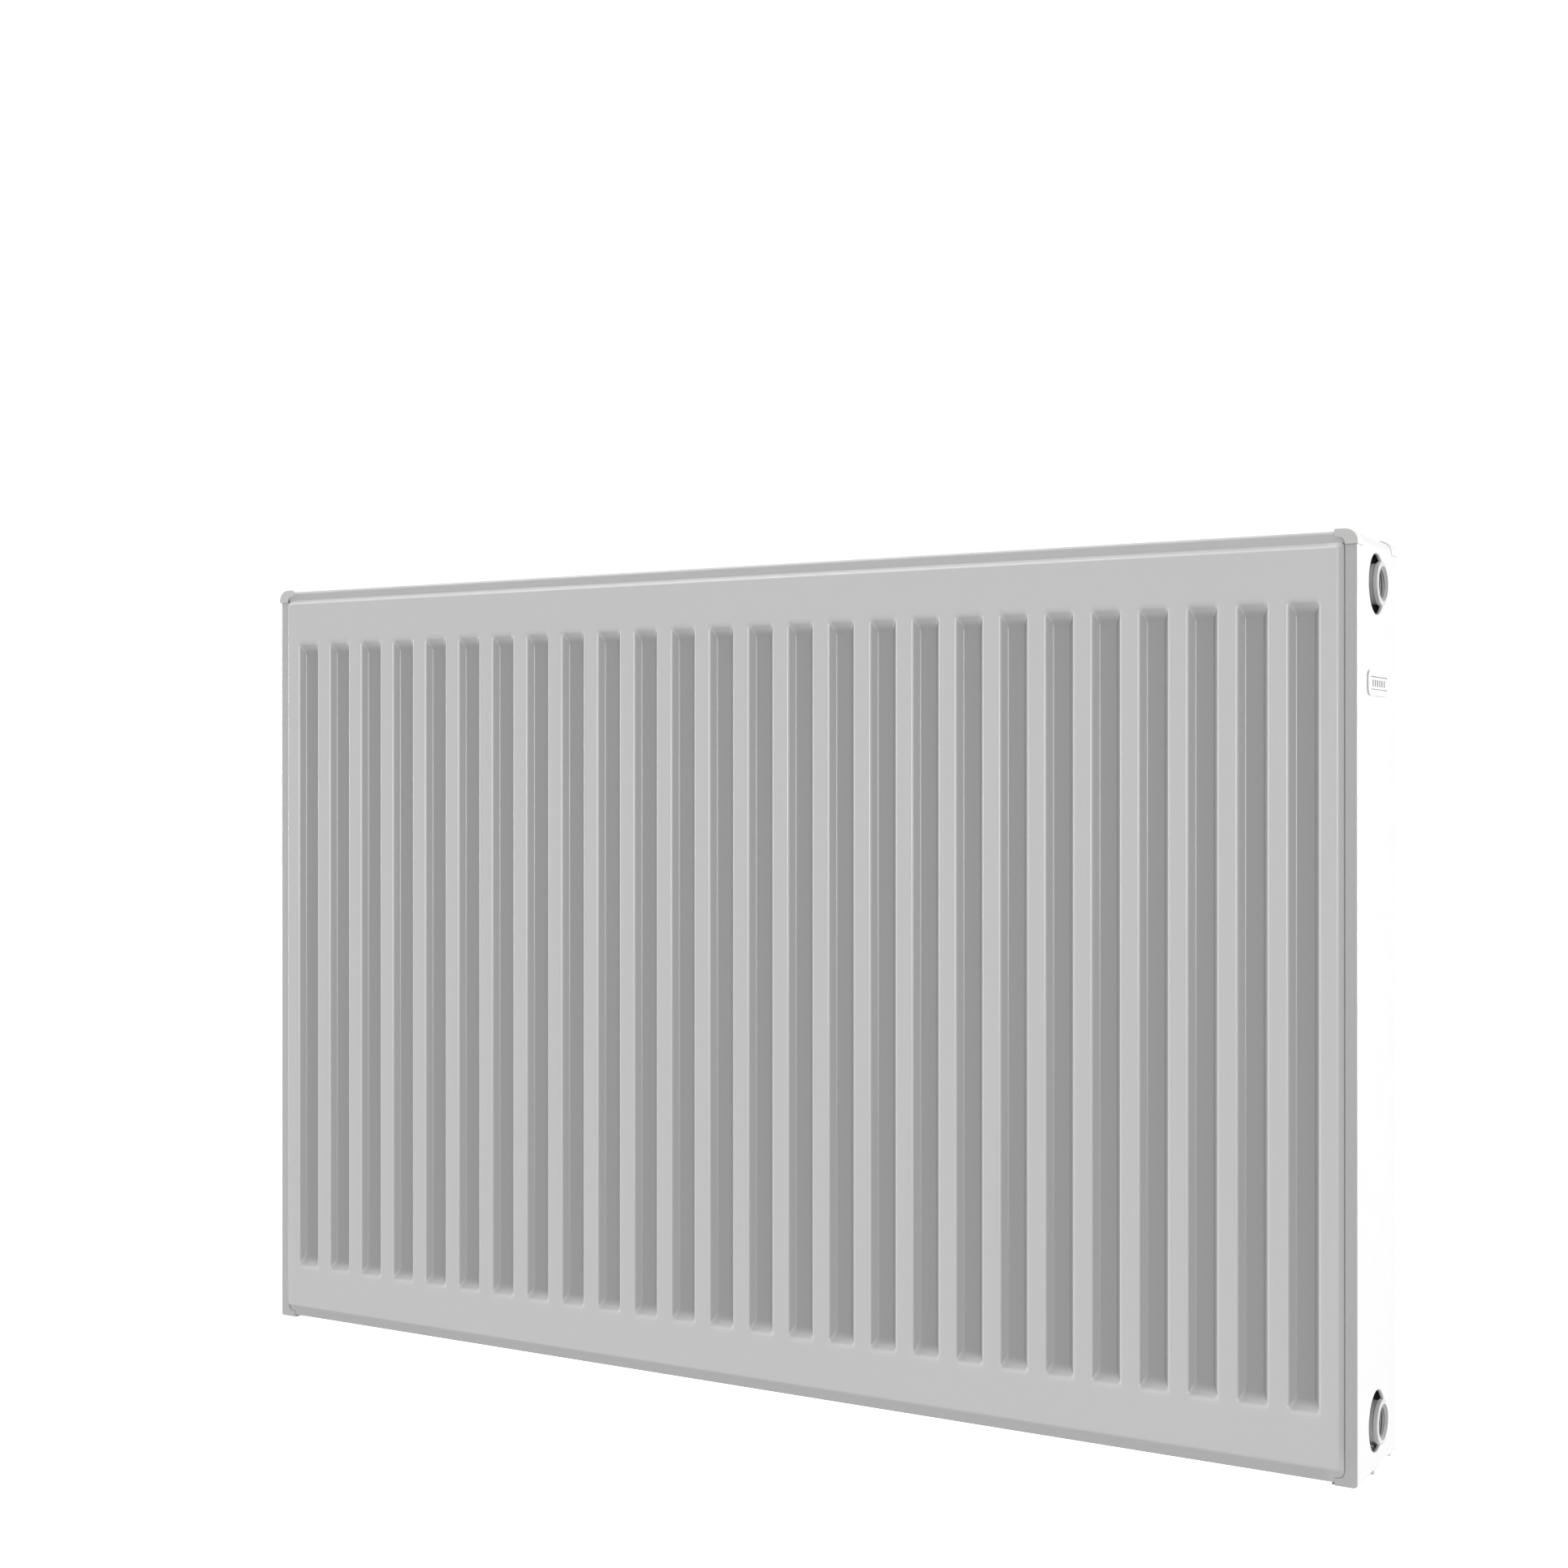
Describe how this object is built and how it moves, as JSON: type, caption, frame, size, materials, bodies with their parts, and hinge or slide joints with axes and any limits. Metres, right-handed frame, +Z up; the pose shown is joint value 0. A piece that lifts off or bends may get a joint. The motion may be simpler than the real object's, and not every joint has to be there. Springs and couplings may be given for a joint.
{
  "type": "panel radiator",
  "caption": "Double-panel steel radiator with fluted faces, convector fins, clip-on side covers, lift-off top grille, threaded side connections, vent plug and rear hanger lugs.",
  "frame": {"origin": "on the wall side, in the plane of the hanger lugs' rear faces, midway between the four lugs: at mid length and 300 mm above the bottom rim", "axes": "+X to the right seen from the front, +Y towards the wall, +Z up"},
  "size_m": [0.9256, 0.117, 0.6062],
  "materials": {
    "white_enamel": "white stoved enamel, satin gloss",
    "trim_enamel": "white powder coat, satin gloss",
    "white_plastic": "moulded, satin",
    "nickel_plate": "nickel plated brass",
    "brass": "turned",
    "seal_rubber": "moulded, matt",
    "spring_steel": "zinc plated spring strip"
  },
  "bodies": {
    "radiator_body": {"front_panel_outer_sheet": "white_enamel", "front_panel_inner_sheet": "white_enamel", "rear_panel_inner_sheet": "white_enamel", "rear_panel_outer_sheet": "white_enamel", "front_convector": "white_enamel", "rear_convector": "white_enamel", "tee_connection_right_bottom": "white_enamel", "hanger_lug_right_bottom": "white_enamel", "tee_connection_right_top": "white_enamel", "hanger_lug_right_top": "white_enamel", "tee_connection_left_bottom": "white_enamel", "hanger_lug_left_bottom": "white_enamel", "tee_connection_left_top": "white_enamel", "hanger_lug_left_top": "white_enamel", "bleed_plug": "nickel_plate", "bleed_plug_seal": "seal_rubber", "blanking_plug": "nickel_plate", "blanking_plug_seal": "seal_rubber"},
    "top_grille": {"top_grille": "trim_enamel", "grille_clip_left": "spring_steel", "grille_clip_middle": "spring_steel", "grille_clip_right": "spring_steel"},
    "side_cover_right": {"side_cover_right": "trim_enamel", "badge": "white_plastic"},
    "side_cover_left": {"side_cover_left": "trim_enamel"},
    "bleed_outlet": {"bleed_outlet": "white_plastic"},
    "bleed_screw": {"bleed_screw": "brass"},
    "corner_clip_right_front": {"corner_clip_right_front": "white_plastic"},
    "corner_clip_right_rear": {"corner_clip_right_rear": "white_plastic"},
    "corner_clip_left_front": {"corner_clip_left_front": "white_plastic"},
    "corner_clip_left_rear": {"corner_clip_left_rear": "white_plastic"}
  },
  "joints": [
    {"name": "grille_lift", "type": "slide", "parent": "radiator_body", "child": "top_grille", "axis": [0, 0, 1], "range_m": [0, 0.06]},
    {"name": "cover_right_pull", "type": "slide", "parent": "radiator_body", "child": "side_cover_right", "axis": [1, 0, 0], "range_m": [0, 0.045]},
    {"name": "cover_left_pull", "type": "slide", "parent": "radiator_body", "child": "side_cover_left", "axis": [-1, 0, 0], "range_m": [0, 0.045]},
    {"name": "bleed_outlet_turn", "type": "hinge", "parent": "radiator_body", "child": "bleed_outlet", "pos_m": [-0.454, -0.066, 0.2705], "axis": [-1, 0, 0], "continuous": true},
    {"name": "bleed_screw_turn", "type": "hinge", "parent": "radiator_body", "child": "bleed_screw", "pos_m": [-0.454, -0.066, 0.2705], "axis": [-1, 0, 0], "range_deg": [0, 540]},
    {"name": "clip_right_front_lift", "type": "slide", "parent": "side_cover_right", "child": "corner_clip_right_front", "axis": [0, 0, 1], "range_m": [0, 0.025]},
    {"name": "clip_right_rear_lift", "type": "slide", "parent": "side_cover_right", "child": "corner_clip_right_rear", "axis": [0, 0, 1], "range_m": [0, 0.025]},
    {"name": "clip_left_front_lift", "type": "slide", "parent": "side_cover_left", "child": "corner_clip_left_front", "axis": [0, 0, 1], "range_m": [0, 0.025]},
    {"name": "clip_left_rear_lift", "type": "slide", "parent": "side_cover_left", "child": "corner_clip_left_rear", "axis": [0, 0, 1], "range_m": [0, 0.025]}
  ]
}
